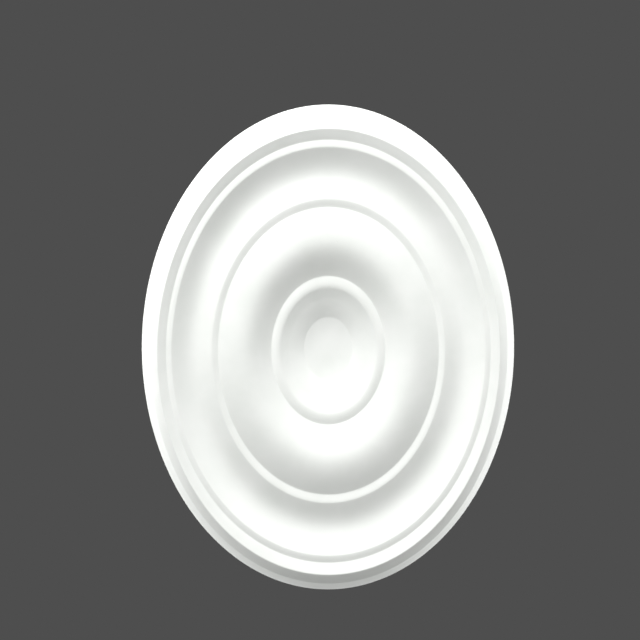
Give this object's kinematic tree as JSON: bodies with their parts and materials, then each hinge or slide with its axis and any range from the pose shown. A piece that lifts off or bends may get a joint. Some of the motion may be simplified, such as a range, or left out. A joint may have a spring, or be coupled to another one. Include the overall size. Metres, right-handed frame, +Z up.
{
  "type": "ceiling rose",
  "caption": "Smooth oval ceiling rose in cast white plaster: a dish in the middle, a broad swelling ring, a cove and a rounded rim, with a flat back for fixing to a ceiling.",
  "frame": {"origin": "middle of the flat back, where it lies against the ceiling", "axes": "+Z up into the ceiling, with the mouldings facing down along -Z; +Y along the long axis of the oval; +X along its short axis"},
  "size_m": [0.45, 0.6, 0.031],
  "materials": {
    "plaster": "smooth matt white cast gypsum plaster"
  },
  "bodies": {
    "root": {"ceiling_rose": "plaster"}
  },
  "joints": []
}
